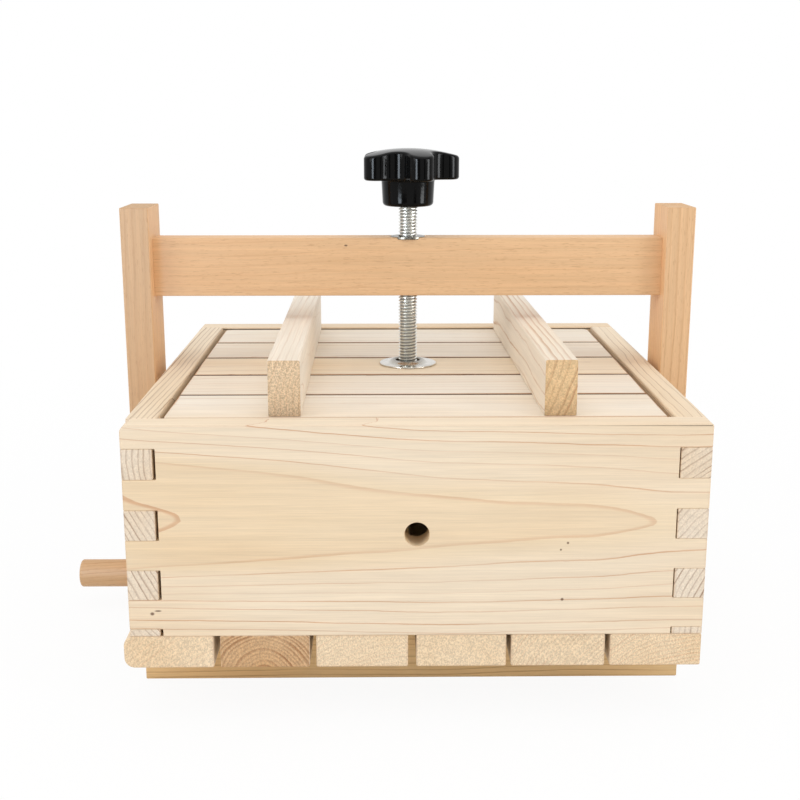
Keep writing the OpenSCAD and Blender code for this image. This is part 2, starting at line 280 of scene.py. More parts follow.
def mirrored_card(name, bearing, distance, width, bottom, top, colour, strength):
    """An upright card facing the screw. bearing is in degrees to the right of the camera."""
    turn = math.radians(bearing)
    middle = Vector((SCREW_PLACE[0] + distance * math.sin(turn),
                     SCREW_PLACE[1] - distance * math.cos(turn), 0.0))
    side = Vector((math.cos(turn), math.sin(turn), 0.0)) * width / 2
    corners = [middle - side, middle + side, middle + side, middle - side]
    mesh = bpy.data.meshes.new(name)
    mesh.from_pydata(
        [(c.x, c.y, z) for c, z in zip(corners, (bottom, bottom, top, top))], [], [(0, 1, 2, 3)]
    )
    card = new_object(name, mesh)
    for setting, value in SHINE_ONLY.items():
        setattr(card, setting, value)
    paint, tree = new_material(name)
    glow = add_node(tree, "ShaderNodeEmission", {"Color": colour, "Strength": strength})
    add_node(tree, "ShaderNodeOutputMaterial", {"Surface": glow.outputs[0]})
    mesh.materials.append(paint)


mirrored_card("dark_left", -17.0, 0.72, 0.26, 0.001, 0.9, CARD_GREY, 1.0)
mirrored_card("dark_right", 31.0, 0.72, 0.16, 0.001, 0.9, CARD_GREY, 1.0)
mirrored_card("window_left", -38.0, 0.60, 0.15, 0.05, 0.5, (0.80, 0.90, 1.0, 1), 26.0)
mirrored_card("window_right", 66.0, 0.60, 0.18, 0.05, 0.5, (0.95, 0.98, 1.0, 1), 15.0)
print("cards for the shiny parts made")

# %% [markdown]
# ## Floor
# The floor is one large pale disc. It is lit like anything else, so it keeps the press's soft
# shadow. Where the camera sees it, it glows a little, and away from the press it glows fully, so
# that it runs into the white background without a horizon.

# %% Floor
FLOOR_RADIUS = 6.0
FLOOR_GAP = 0.2 * MM
FLOOR_GLOW = 0.92
SHADOW_REACH = 0.25


def build_floor():
    """A flat disc under the press."""
    mesh = bpy.data.meshes.new("floor")
    form = bmesh.new()
    bmesh.ops.create_circle(form, cap_ends=True, segments=96, radius=FLOOR_RADIUS)
    form.to_mesh(mesh)
    form.free()
    floor = new_object("floor", mesh)
    floor.location = (0, 0, -FLOOR_GAP)
    paint, tree = new_material("studio_floor")
    path = add_node(tree, "ShaderNodeLightPath").outputs
    seen = calc(tree, "MAXIMUM", path["Is Camera Ray"], path["Is Glossy Ray"])
    matt = add_node(tree, "ShaderNodeBsdfDiffuse", {"Color": (0.9, 0.9, 0.9, 1)})
    place = add_node(tree, "ShaderNodeTexCoord").outputs["Object"]
    far = smooth(
        tree, length(tree, place), SHADOW_REACH, 3 * SHADOW_REACH, FLOOR_GLOW, 1.0
    )
    share = calc(tree, "MULTIPLY", seen, far)
    glow = add_node(tree, "ShaderNodeEmission", {"Strength": 1.0})
    both = add_node(
        tree, "ShaderNodeMixShader", {0: share, 1: matt.outputs[0], 2: glow.outputs[0]}
    )
    add_node(tree, "ShaderNodeOutputMaterial", {"Surface": both.outputs[0]})
    mesh.materials.append(paint)


build_floor()
print("floor radius", FLOOR_RADIUS, "m")

# %% [markdown]
# ## Wood, from the log outwards
# A plank's pattern is not painted on it: it is what the saw shows of rings that run through the
# whole log. So the material works out, for each point of a piece, how far it lies from the pith
# of an imagined log. On a long face this gives straight lines or the pointed arches that
# joiners call cathedrals, and on a cut end the same formula gives arcs, which meet the lines on
# the faces at the edge. The log widens on one side of a place, the arch's tip, and so the arches
# open to that side. A ring's dark line is equally thin wherever the saw crosses it, so its share
# of the ring is worked out from how fast the rings pass under the surface.
#
# A real log isn't a perfect cone, so a slow bend and a fine ripple push the rings about, and
# rings are unequally wide. Leaf shapes the arches near their tip like a leaf. Pith Rise tilts
# the pith from BEND_START metres before the tip. Rings outside the first one crowd together, and
# those inside it are wide.

# %% Growth rings
BEND_CELLS = (9.0, 30.0, 30.0)
BEND_SIZE = 2.2
RIPPLE_CELLS = (60.0, 160.0, 160.0)
RIPPLE_SIZE = 0.9 * MM
FADE_CELLS = (14.0, 50.0, 50.0)
INNER_STRETCH = 2.05
LOOSE_SPACING = 1.1
LEAF_LENGTH = 0.036
CROWDING = 12.0
MOST_CROWDED = 1.5
BEND_START = 0.1
TAPER_FADE = (0.016, 0.040)
TAPER_LEFT = 0.3
RISE_FADE = (0.008, 0.022)
RISE_LEFT = 0.25
LINE_START = 2.4
LINE_DARK = 0.8
LINE_STOP = 0.35


def make_growth_rings():
    """Ring pattern of a log whose pith runs along X at (Pith Deep, Pith Across)."""
    numbers = ("Pith Deep", "Pith Across", "Pith Rise", "Arch Tip", "Opening", "Closing", "Leaf",
               "Ring Width", "Line Width", "First Ring", "Waver", "Seed")
    tree, take, give = new_group(
        "growth_rings",
        [("Position", "v"), ("Normal", "v")] + [(label, "f") for label in numbers],
        [("Late Wood", "f"), ("Ring Shade", "f"), ("Ring Tone", "f"), ("Heart", "f")],
    )
    along, deep, across = split(tree, take["Position"])
    shifted = join(tree, calc(tree, "ADD", along, take["Seed"]), deep, across)
    long_cells = vector(tree, "MULTIPLY", shifted, BEND_CELLS)
    bend = calc(tree, "SUBTRACT", noise(tree, long_cells, 1.0, 2.0), 0.5)
    ripple_cells = vector(tree, "MULTIPLY", shifted, RIPPLE_CELLS)
    ripple = calc(tree, "SUBTRACT", noise(tree, ripple_cells, 1.0, 3.0, 0.6), 0.5)
    sway = calc(tree, "MULTIPLY", bend, calc(tree, "MULTIPLY", take["Waver"], BEND_SIZE))
    sway = calc(tree, "ADD", sway, calc(tree, "MULTIPLY", ripple, RIPPLE_SIZE))

    past_tip = calc(tree, "SUBTRACT", along, take["Arch Tip"])
    before = calc(tree, "MINIMUM", past_tip, 0.0)
    after = calc(tree, "MAXIMUM", past_tip, 0.0)
    opened = calc(tree, "MULTIPLY", calc(tree, "MULTIPLY", before, before), take["Opening"])
    closed = calc(tree, "MULTIPLY", after, take["Closing"])
    near_tip = smooth(tree, before, -LEAF_LENGTH, 0.0, 1.0, 0.0)
    leaf = calc(tree, "MULTIPLY", near_tip, take["Leaf"])
    spread = calc(tree, "ABSOLUTE", calc(tree, "SUBTRACT", across, take["Pith Across"]))
    taper = calc(tree, "SUBTRACT", closed, calc(tree, "ADD", opened, leaf))
    taper = calc(tree, "MULTIPLY", taper, smooth(tree, spread, *TAPER_FADE, 1.0, TAPER_LEFT))

    off_deep = calc(tree, "SUBTRACT", deep, take["Pith Deep"])
    past_bend = calc(tree, "MINIMUM", calc(tree, "ADD", past_tip, BEND_START), 0.0)
    rising = smooth(tree, spread, *RISE_FADE, RISE_LEFT, 1.0)
    past_bend = calc(tree, "MULTIPLY", past_bend, rising)
    risen = calc(tree, "MULTIPLY_ADD", past_bend, take["Pith Rise"], take["Pith Across"])
    off_across = calc(tree, "SUBTRACT", across, risen)
    away = join(tree, 0.0, off_deep, off_across)
    radius = calc(tree, "ADD", length(tree, away), taper)
    radius = calc(tree, "ADD", radius, sway)
    past_first = calc(tree, "SUBTRACT", radius, take["First Ring"])
    outer = calc(tree, "MAXIMUM", past_first, 0.0)
    crowd = calc(tree, "MULTIPLY_ADD", outer, CROWDING, 1.0)
    crowd = calc(tree, "MINIMUM", crowd, MOST_CROWDED)
    outer = calc(tree, "MULTIPLY", outer, crowd)
    inner = calc(tree, "DIVIDE", calc(tree, "MINIMUM", past_first, 0.0), INNER_STRETCH)
    count = calc(tree, "DIVIDE", calc(tree, "ADD", outer, inner), take["Ring Width"])
    slow_count = calc(tree, "MULTIPLY", count, 0.45)
    loose = noise(tree, join(tree, slow_count, take["Seed"], 0.0), 1.0)
    loose = calc(tree, "MULTIPLY", calc(tree, "SUBTRACT", loose, 0.5), LOOSE_SPACING)
    held = smooth(tree, calc(tree, "ABSOLUTE", count), 0.0, 1.5)
    count = calc(tree, "ADD", count, calc(tree, "MULTIPLY", loose, held))
    phase = calc(tree, "FRACT", count)

    slope = vector(tree, "NORMALIZE", vector(tree, "ADD", away, (0.002, 0.0, 0.0)))
    slope = vector(tree, "ADD", slope, (0.06, 0.0, 0.0))
    facing = add_node(
        tree, "ShaderNodeVectorMath", {0: slope, 1: take["Normal"]}, operation="DOT_PRODUCT"
    ).outputs["Value"]
    pace = calc(tree, "SUBTRACT", 1.004, calc(tree, "MULTIPLY", facing, facing))
    pace = calc(tree, "SQRT", calc(tree, "MAXIMUM", pace, 0.012))
    share = calc(tree, "DIVIDE", take["Line Width"], take["Ring Width"])
    share = calc(tree, "MULTIPLY", share, pace)
    rise_from = calc(tree, "MULTIPLY_ADD", share, -LINE_START, 1.0)
    rise_to = calc(tree, "MULTIPLY_ADD", share, -LINE_DARK, 1.0)
    fall_from = calc(tree, "MULTIPLY_ADD", share, -LINE_STOP, 1.0)
    fall = smooth(tree, phase, fall_from, 1.0, 1.0, 0.0)
    late = calc(tree, "MULTIPLY", smooth(tree, phase, rise_from, rise_to), fall)
    shade = calc(tree, "MULTIPLY", calc(tree, "POWER", phase, 3.0), fall)
    ring = join(tree, calc(tree, "FLOOR", count), take["Seed"], 0.5)
    tone = add_node(tree, "ShaderNodeTexWhiteNoise", {"Vector": ring}).outputs["Value"]
    fade_cells = vector(tree, "MULTIPLY", shifted, FADE_CELLS)
    fade = smooth(tree, noise(tree, fade_cells, 1.0, 2.0), 0.32, 0.6, 0.35, 1.0)
    feed(tree, give["Late Wood"], calc(tree, "MULTIPLY", late, fade))
    feed(tree, give["Ring Shade"], shade)
    feed(tree, give["Ring Tone"], tone)
    feed(tree, give["Heart"], smooth(tree, count, -0.3, 1.4, 1.0, 0.0))
    return tree


growth_rings = make_growth_rings()
print("nodes in the ring pattern:", len(growth_rings.nodes))

# %% [markdown]
# Between the rings the wood is made of fibres, thin streaks a few centimetres long that follow
# the grain. They give a plain area its silky look and, as a bump, catch the light. On a cut end
# there are no streaks but pores, and the saw tears the fibres into a speckle of pale tufts and
# dark pits. So the group is told how much of an end it is looking at.


# %% Fibres
STREAK_CELLS = (9.0, 420.0, 420.0)
FIBRE_CELLS = (45.0, 2600.0, 2600.0)
PORES_PER_METRE = 2300.0
TUFT_CELLS = (1.0, 1500.0, 1200.0)


def make_fibres():
    """Streaks along X on a face, and pores on an end."""
    tree, take, give = new_group(
        "fibres",
        [("Position", "v"), ("End", "f"), ("Seed", "f")],
        [("Streak", "f"), ("Fine", "f"), ("Speckle", "f"), ("Height", "f")],
    )
    shift = join(tree, take["Seed"], take["Seed"], take["Seed"])
    place = vector(tree, "ADD", take["Position"], shift)
    broad = noise(tree, vector(tree, "MULTIPLY", place, STREAK_CELLS), 1.0, 3.0, 0.55)
    fine = noise(tree, vector(tree, "MULTIPLY", place, FIBRE_CELLS), 1.0, 2.0, 0.6)
    pores = noise(tree, place, PORES_PER_METRE, 3.0, 0.7)
    chosen = calc(tree, "MULTIPLY", fine, calc(tree, "SUBTRACT", 1.0, take["End"]))
    chosen = calc(tree, "ADD", chosen, calc(tree, "MULTIPLY", pores, take["End"]))
    torn = noise(tree, vector(tree, "MULTIPLY", place, TUFT_CELLS), 1.0, 2.0, 0.7)
    torn = calc(tree, "MULTIPLY", smooth(tree, torn, 0.34, 0.66, -1.0, 1.0), take["End"])
    feed(tree, give["Streak"], broad)
    feed(tree, give["Fine"], chosen)
    feed(tree, give["Speckle"], torn)
    height = calc(tree, "ADD", calc(tree, "MULTIPLY", broad, 0.5), chosen)
    height = calc(tree, "ADD", height, calc(tree, "MULTIPLY", torn, 0.8))
    feed(tree, give["Height"], height)
    return tree


fibres = make_fibres()
print("nodes in the fibre pattern:", len(fibres.nodes))

# %% [markdown]
# Hands and tools touch a piece at its edges first. To know where the edges are, the material
# compares a point with the piece's own box: on the surface the nearest wall is the one it lies
# on, so the second nearest tells how far away the next edge is.


# %% Distance to the nearest edge
def make_edge_distance():
    """Distance in metres from a point on a box-like piece to its nearest edge."""
    tree, take, give = new_group(
        "edge_distance",
        [("Position", "v"), ("Low", "v"), ("High", "v")],
        [("Distance", "f")],
    )
    above = split(tree, vector(tree, "SUBTRACT", take["Position"], take["Low"]))
    below = split(tree, vector(tree, "SUBTRACT", take["High"], take["Position"]))
    wall = [calc(tree, "MINIMUM", a, b) for a, b in zip(above, below)]
    lesser = calc(tree, "MINIMUM", wall[0], wall[1])
    greater = calc(tree, "MAXIMUM", wall[0], wall[1])
    second = calc(tree, "MAXIMUM", lesser, calc(tree, "MINIMUM", greater, wall[2]))
    feed(tree, give["Distance"], second)
    return tree


edge_distance = make_edge_distance()
print("nodes in the edge distance:", len(edge_distance.nodes))

# %% [markdown]
# ## Fir and beech
# Both woods are the same recipe with other numbers. Fir has wide rings with thin brown lines on
# cream. Beech is a warm tan with faint rings and many short dark flecks. Each piece is cut from
# its own place in the log, so each gets its own material with its own pith and seed.

# %% Wood materials
GRAIN_AXES = {"x": (0, 1, 2), "y": (1, 0, 2), "z": (2, 0, 1)}

FIR = {
    "early": srgb(236, 219, 194),
    "late": srgb(190, 120, 64),
    "end": srgb(232, 210, 178),
    "late_strength": 0.5,
    "ring_shade": 0.05,
    "speckle": 0.17,
    "fleck": 0.0,
    "roughness": 0.62,
}
PALE_FIR = dict(FIR, early=srgb(238, 228, 213), late=srgb(190, 146, 106), ring_shade=0.04)
DARK_FIR = dict(
    FIR, early=srgb(241, 224, 198), late=srgb(150, 100, 56), end=srgb(208, 174, 134)
)
FOOT_FIR = dict(FIR, early=srgb(232, 199, 148), late=srgb(164, 118, 70))
BEECH = {
    "early": srgb(228, 188, 144),
    "late": srgb(198, 146, 98),
    "end": srgb(220, 182, 140),
    "late_strength": 0.26,
    "ring_shade": 0.12,
    "speckle": 0.05,
    "fleck": 0.24,
    "roughness": 0.5,
}
WARM_STAIN = srgb(240, 214, 172)
HEART_PALE = srgb(252, 247, 237)
FLECK_BROWN = srgb(150, 96, 56)
MARK_BROWN = srgb(92, 58, 34)
EDGE_TAN = srgb(196, 150, 104)
CLOUD_CELLS = (5.0, 22.0, 22.0)
FLECK_CELLS = (240.0, 2600.0, 2600.0)
MARK_STRENGTH = 0.85
RUBBED = (0.8 * MM, 1.8 * MM)
RUB_WAVER = 1.6 * MM
WOOD_BUMP = (0.22, 0.3 * MM)
WOOD_SPECULAR = 0.28


def grain_position(tree, point, grain):
    """The point with its parts in the order along, deep, across."""
    parts = split(tree, point)
    first, second, third = GRAIN_AXES[grain]
    return join(tree, parts[first], parts[second], parts[third])


def marks_mask(tree, point, marks):
    """1 in the middle of each mark, 0 outside. A mark is (place, radius, stretch)."""
    mask = 0.0
    for place, radius, stretch in marks:
        off = vector(tree, "MULTIPLY", vector(tree, "SUBTRACT", point, place), stretch)
        spot = smooth(tree, length(tree, off), radius * 0.35, radius, 1.0, 0.0)
        mask = calc(tree, "MAXIMUM", mask, spot)
    return mask


def wood_material(name, wood, grain, low, high, pith, tip, seed, opening=0.2, closing=0.02,
                  leaf=0.0, rise=0.0, ring=0.004, line=0.0006, first=0.0, waver=0.002,
                  tint=1.0, contrast=1.0, wall=1.0, wall_side=0, worn=0.16, marks=()):
    """One board's wood. pith is (deep, across) in metres, in the order of GRAIN_AXES.

    wall multiplies the light of the two faces across the deep axis: above 1 it is painted light
    and below 1 it is painted shade. wall_side keeps it to the one on the far side (1) or on the
    near side (-1).
    """
    material, tree = new_material(name)
    coords = add_node(tree, "ShaderNodeTexCoord").outputs
    point = coords["Object"]
    turned = grain_position(tree, point, grain)
    turned_normal = grain_position(tree, coords["Normal"], grain)
    facing = split(tree, turned_normal)[0]
    end = smooth(tree, calc(tree, "ABSOLUTE", facing), 0.6, 0.8)
    rings = use_group(
        tree, growth_rings, Position=turned, Normal=turned_normal, Pith_Deep=pith[0],
        Pith_Across=pith[1], Pith_Rise=rise, Arch_Tip=tip, Opening=opening, Closing=closing,
        Leaf=leaf, Ring_Width=ring, Line_Width=line, First_Ring=first, Waver=waver, Seed=seed,
    )
    fibre = use_group(tree, fibres, Position=turned, End=end, Seed=seed)
    stretched = vector(tree, "MULTIPLY", turned, CLOUD_CELLS)
    cloud = noise(tree, vector(tree, "ADD", stretched, (seed, 0, 0)), 1.0, 3.0)

    strength = calc(tree, "MULTIPLY_ADD", rings["Ring Tone"], 0.8, 0.4)
    strength = calc(tree, "MULTIPLY", strength, wood["late_strength"] * contrast)
    late = calc(tree, "MULTIPLY", rings["Late Wood"], strength)
    shade = calc(tree, "MULTIPLY", rings["Ring Shade"], wood["ring_shade"] * contrast)
    late = calc(tree, "MINIMUM", calc(tree, "ADD", late, shade), 1.0)
    body = blend(tree, end, wood["early"], wood["end"])
    colour = blend(tree, late, body, wood["late"])
    warm = smooth(tree, cloud, 0.35, 0.75, 0.0, 0.3)
    colour = blend(tree, warm, colour, WARM_STAIN, "MULTIPLY")
    colour = blend(tree, rings["Heart"], colour, HEART_PALE, "MULTIPLY")
    streak = smooth(tree, fibre["Streak"], 0.3, 0.72, 0.95, 1.03)
    fine = smooth(tree, fibre["Fine"], 0.3, 0.7, 0.95, 1.03)
    light = calc(tree, "MULTIPLY", calc(tree, "MULTIPLY", streak, fine), tint)
    torn = calc(tree, "MULTIPLY_ADD", fibre["Speckle"], wood["speckle"], 1.0)
    light = calc(tree, "MULTIPLY", light, torn)
    # Painted light (wall above 1) and painted shade (wall below 1) on the faces across the deep
    # axis.
    if wall != 1.0:
        aside = split(tree, turned_normal)[1]
        if wall_side:
            aside = calc(tree, "MULTIPLY", aside, wall_side)
        else:
            aside = calc(tree, "ABSOLUTE", aside)
        light = calc(tree, "MULTIPLY", light, smooth(tree, aside, 0.45, 0.8, 1.0, wall))
    colour = blend(tree, 1.0, colour, join(tree, light, light, light), "MULTIPLY")

    if wood["fleck"]:
        cells = vector(tree, "MULTIPLY", turned, FLECK_CELLS)
        fleck = smooth(tree, noise(tree, cells, 1.0, 1.0), 0.60, 0.72, 0.0, wood["fleck"])
        fleck = calc(tree, "MULTIPLY", fleck, calc(tree, "SUBTRACT", 1.0, end))
        colour = blend(tree, fleck, colour, FLECK_BROWN)
    if marks:
        marked = calc(tree, "MULTIPLY", marks_mask(tree, point, marks), MARK_STRENGTH)
        colour = blend(tree, marked, colour, MARK_BROWN)

    edge = use_group(tree, edge_distance, Position=point, Low=low, High=high)["Distance"]
    rub = calc(tree, "ADD", edge, calc(tree, "MULTIPLY", cloud, RUB_WAVER))
    handled = smooth(tree, rub, *RUBBED, worn, 0.0)
    colour = blend(tree, handled, colour, EDGE_TAN, "MULTIPLY")

    roughness = calc(tree, "MULTIPLY_ADD", fibre["Fine"], 0.16, wood["roughness"] - 0.08)
    roughness = calc(tree, "MULTIPLY_ADD", end, 0.14, roughness)
    height = calc(tree, "MULTIPLY_ADD", late, 0.35, fibre["Height"])
    principled(
        tree, colour, roughness, (*WOOD_BUMP, height), {"Specular IOR Level": WOOD_SPECULAR}
    )
    return material


# %% [markdown]
# ## Boards, slats and battens
# Each wooden piece starts as the CAD solid of the same name. Its triangles are joined back into
# flat faces and a narrow bevel rounds every sharp edge, as sanding does. Weighted normals keep
# the broad faces flat in the light while the bevel turns softly from one to the next.


# %% Soften a wooden piece
SANDED_EDGE = 0.45 * MM
CRISP_EDGE = 0.1 * MM
BEVEL_SEGMENTS = 3
FLAT_WITHIN = math.radians(0.5)
SHARP_FROM = math.radians(40)


def body_of(node):
    """The CAD body that a node belongs to."""
    bodies = frame["record"]["behaviour"]["bodies"]
    return next(body for body, nodes in bodies.items() if node in nodes)


def add_piece(name, form, material, node):
    """Makes an object of a bmesh, in place of a CAD node."""
    mesh = bpy.data.meshes.new(name)
    form.to_mesh(mesh)
    form.free()
    mesh.materials.append(material)
    piece = new_object(name, mesh)
    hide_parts(node)
    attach(piece, body_of(node))
    return piece


def soften(node, material, edge):
    """A copy of a CAD board with its sharp edges rounded."""
    form = bmesh.new()
    form.from_mesh(frame["nodes"][node].data)
    bmesh.ops.remove_doubles(form, verts=form.verts, dist=1e-6)
    bmesh.ops.dissolve_limit(
        form, angle_limit=FLAT_WITHIN, verts=form.verts, edges=form.edges
    )
    for face in form.faces:
        face.smooth = True
        face.material_index = 0
    piece = add_piece(f"{node}_wood", form, material, node)
    bevel = piece.modifiers.new("sanded_edges", "BEVEL")
    bevel.width = edge
    bevel.segments = BEVEL_SEGMENTS
    bevel.limit_method = "ANGLE"
    bevel.angle_limit = SHARP_FROM
    bevel.use_clamp_overlap = False
    normals = piece.modifiers.new("flat_faces", "WEIGHTED_NORMAL")
    normals.keep_sharp = True


def wooden(node, wood, grain, pith, slot="fir", edge=SANDED_EDGE, tip=0.0, **looks):
    """Makes a wooden piece with its own material. pith and tip count from its middle."""
    low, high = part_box(node)
    middle = (low + high) / 2
    along, deep, across = GRAIN_AXES[grain]
    pith = (middle[deep] + pith[0], middle[across] + pith[1])
    tip = middle[along] + tip
    material = wood_material(f"{node}_wood", wood, grain, low, high, pith, tip, **looks)
    soften(node, material, edge)


# %% [markdown]
# ## The mould box
# The front board is flat-sawn: the pith lay just behind its face, so the rings open into long
# arches towards the left and close to a tip near the right end. The sides and the back are
# plainer boards of the same fir.

# %% Box boards
FRONT_FACE = -0.1225
FRONT_MARKS = (
    ((-0.1015, FRONT_FACE, 0.0499), 1.2 * MM, (1.0, 1, 1.2)),
    ((-0.0990, FRONT_FACE, 0.0512), 1.0 * MM, (0.5, 1, 2.0)),
    ((0.0729, FRONT_FACE, 0.0556), 0.9 * MM, (1, 1, 1)),
    ((0.0746, FRONT_FACE, 0.0810), 0.7 * MM, (1, 1, 1)),
    ((0.0717, FRONT_FACE, 0.0780), 0.6 * MM, (1, 1, 1)),
)
wooden("front_board", FIR, "x", (0.0015, 0.0045), tip=0.11, opening=0.36, closing=0.03,
       leaf=0.0021, rise=-0.05, ring=0.0087, line=0.00042, first=0.008, seed=1.3,
       contrast=1.15, marks=FRONT_MARKS)
wooden("back_board", FIR, "x", (-0.03, 0.012), tip=-0.04, ring=0.006, seed=5.1)
SIDE_FIR = dict(
    FIR, end=srgb(231, 216, 196), late=srgb(140, 98, 64), speckle=0.08, late_strength=0.62
)
wooden("left_board", SIDE_FIR, "y", (0.1, 0.035), tip=0.05, ring=0.0036, seed=9.7)
wooden("right_board", SIDE_FIR, "y", (0.06, -0.05), tip=-0.06, ring=0.0038, seed=12.4)
print("four box boards made")

# %% [markdown]
# ## The slatted base and the lid
# The slats are offcuts of many boards, so their ends show rings of every curvature: a pith close
# above or below gives tight arcs and one far away gives nearly straight lines.

# %% Base
DARK_BASE_SLAT = 2
BASE_LOOKS = (
    dict(pith=(0.06, -0.09), ring=0.004, contrast=0.3),
    dict(pith=(-0.001, -0.012), ring=0.0021, contrast=1.4, line=0.0007, waver=0.003),
    dict(pith=(0.02, -0.05), ring=0.0033, contrast=0.3),
    dict(pith=(-0.05, -0.12), ring=0.005, contrast=0.15, tint=0.99),
    dict(pith=(0.055, -0.045), ring=0.003, contrast=0.5, tint=0.975, waver=0.003),
    dict(pith=(0.02, -0.05), ring=0.0028, contrast=0.5, waver=0.003),
)
for number, looks in enumerate(BASE_LOOKS, start=1):
    kind, slot = (DARK_FIR, "fir_dark") if number == DARK_BASE_SLAT else (FIR, "fir")
    wooden(f"base_slat_{number}", kind, "y", slot=slot, tip=0.05 * math.sin(number),
           seed=20.0 + 3.7 * number, **looks)
for side, across in (("front", 0.05), ("back", -0.06)):
    wooden(f"base_batten_{side}", FOOT_FIR, "x", (0.02, across), seed=47.0 + 100 * across)
print(len(BASE_LOOKS), "base slats and two battens made")

# %% [markdown]
# The lid's slats nearly touch, and little light reaches into the narrow gaps, which the eye reads
# as thin dark lines. So the walls inside the gaps are painted dark as shade, and every edge of a
# slat is darkened strongly. The outer walls of the first and last slat show when the lid is
# raised, so they stay plain.

# %% Lid
DARK_LID_SLAT = 3
GAP_PAINTED_SHADE = 0.22
LID_EDGE_DARKENING = 0.95
LID_LOOKS = (
    dict(pith=(0.02, -0.05), tint=0.99, wall_side=-1),
    dict(pith=(-0.03, -0.06), tint=0.985),
    dict(pith=(0.01, -0.04)),
    dict(pith=(0.03, -0.06)),
    dict(pith=(-0.015, -0.05), tint=1.01, wall_side=1),
)
for number, looks in enumerate(LID_LOOKS, start=1):
    kind, slot = (DARK_FIR, "fir_dark") if number == DARK_LID_SLAT else (PALE_FIR, "fir")
    # Dark walls inside the gaps between slats: painted shade.
    wooden(f"lid_slat_{number}", kind, "x", slot=slot, tip=0.06 * math.cos(1.7 * number),
           ring=0.006, seed=60.0 + 5.3 * number, wall=GAP_PAINTED_SHADE, worn=LID_EDGE_DARKENING, **looks)
LID_BATTEN = dict(PALE_FIR, end=srgb(222, 197, 164), speckle=0.24)
wooden("lid_batten_left", LID_BATTEN, "y", (0.12, -0.02), seed=93.0, ring=0.004, contrast=0.6)
wooden("lid_batten_right", dict(LID_BATTEN, end=srgb(226, 196, 152), speckle=0.14), "y",
       (-0.09, 0.03), seed=87.5, ring=0.0045, contrast=1.4, line=0.0009)
print(len(LID_LOOKS), "lid slats and two battens made")

# %% [markdown]
# ## The beech frame
# The uprights and the crossbar are planed beech. The uprights' edges are broken with sandpaper,
# and the crossbar's are left crisp. The rod is a turned dowel of the same wood.

# %% Frame
KNOT = (((-0.0215, 0.001, 0.1928), 0.8 * MM, (0.7, 1, 1.2)),)
# wall above 1 lightens the uprights' side faces: painted light, standing for more light falling
# on them from the sides.
wooden("left_upright", BEECH, "z", (0.05, 0.06), "beech", seed=101.0, tint=0.82,
       wall=1.27, worn=0.1)
wooden("right_upright", BEECH, "z", (-0.06, 0.05), "beech", seed=107.0, tint=0.97,
       contrast=1.3, wall=1.17, worn=0.1)
wooden("crossbar", BEECH, "x", (0.07, 0.05), "beech", CRISP_EDGE, seed=113.0, contrast=0.6,
       worn=0.0, marks=KNOT)
wooden("locking_rod", BEECH, "x", (0.03, 0.02), "beech", CRISP_EDGE, seed=119.0, ring=0.003,
       contrast=1.6, tint=0.84)
print("beech frame and rod made")

# %% [markdown]
# ## Metal and plastic
# Zinc plating is a metal with a soft, slightly blotchy shine. The washer is polished, so it is
# nearly a mirror. The knob is moulded phenolic, black and glossy with a hint of orange peel.


# %% Metal and plastic materials
BLOTCH_GREY = srgb(118, 112, 100)
PAINTED_SHADE_GREY = srgb(104, 99, 90)
PAINTED_SHADE_STRENGTH = 0.7
METAL_BUMP = (0.12, 0.1 * MM)
PLASTIC_BLACK = (0.0022, 0.0022, 0.0022, 1)
PLASTIC_GREY = (0.0042, 0.0042, 0.0044, 1)
PLASTIC_BUMP = (0.1, 0.2 * MM)
PLASTIC_SPECULAR = 0.09


def metal_material(name, base, roughness, blotch, grain_scale, painted_inner_shade=None):
    """A metal whose shine varies in blotches.

    The last argument, if given, is (axis x, axis y, inner radius, outer radius): painted shade,
    which is darkest from the inner radius inwards.
    """
    material, tree = new_material(name)
    point = add_node(tree, "ShaderNodeTexCoord").outputs["Object"]
    cloud = noise(tree, point, 160.0, 3.0)
    fine = noise(tree, point, grain_scale, 2.0)
    colour = blend(tree, smooth(tree, cloud, 0.3, 0.7, 0.0, blotch), base, BLOTCH_GREY)
    shine = calc(tree, "MULTIPLY_ADD", cloud, 0.12, roughness - 0.06)
    shine = calc(tree, "MULTIPLY_ADD", fine, 0.06, shine)
    if painted_inner_shade:
        # Painted shade: darker and rougher towards the axis, from the outer radius in.
        axis_x, axis_y, inner, outer = painted_inner_shade
        parts = split(tree, vector(tree, "SUBTRACT", point, (axis_x, axis_y, 0.0)))
        from_axis = length(tree, join(tree, parts[0], parts[1], 0.0))
        deep = smooth(tree, from_axis, inner, outer, 1.0, 0.0)
        colour = blend(
            tree, calc(tree, "MULTIPLY", deep, PAINTED_SHADE_STRENGTH), colour, PAINTED_SHADE_GREY
        )
        shine = calc(tree, "MULTIPLY_ADD", deep, 0.2, shine)
    principled(tree, colour, shine, (*METAL_BUMP, fine), {"Metallic": 1.0})
    return material


def phenolic_material():
    """Black moulded plastic."""
    material, tree = new_material("black_phenolic")
    point = add_node(tree, "ShaderNodeTexCoord").outputs["Object"]
    cloud = noise(tree, point, 70.0, 3.0)
    peel = noise(tree, point, 420.0, 2.0)
    colour = blend(tree, cloud, PLASTIC_BLACK, PLASTIC_GREY)
    shine = calc(tree, "MULTIPLY_ADD", cloud, 0.06, 0.07)
    principled(
        tree, colour, shine, (*PLASTIC_BUMP, peel), {"Specular IOR Level": PLASTIC_SPECULAR}
    )
    return material


zinc = metal_material("zinc_plate", srgb(118, 114, 105), 0.25, 0.25, 3000.0)
phenolic = phenolic_material()
print("materials so far:", len(bpy.data.materials))
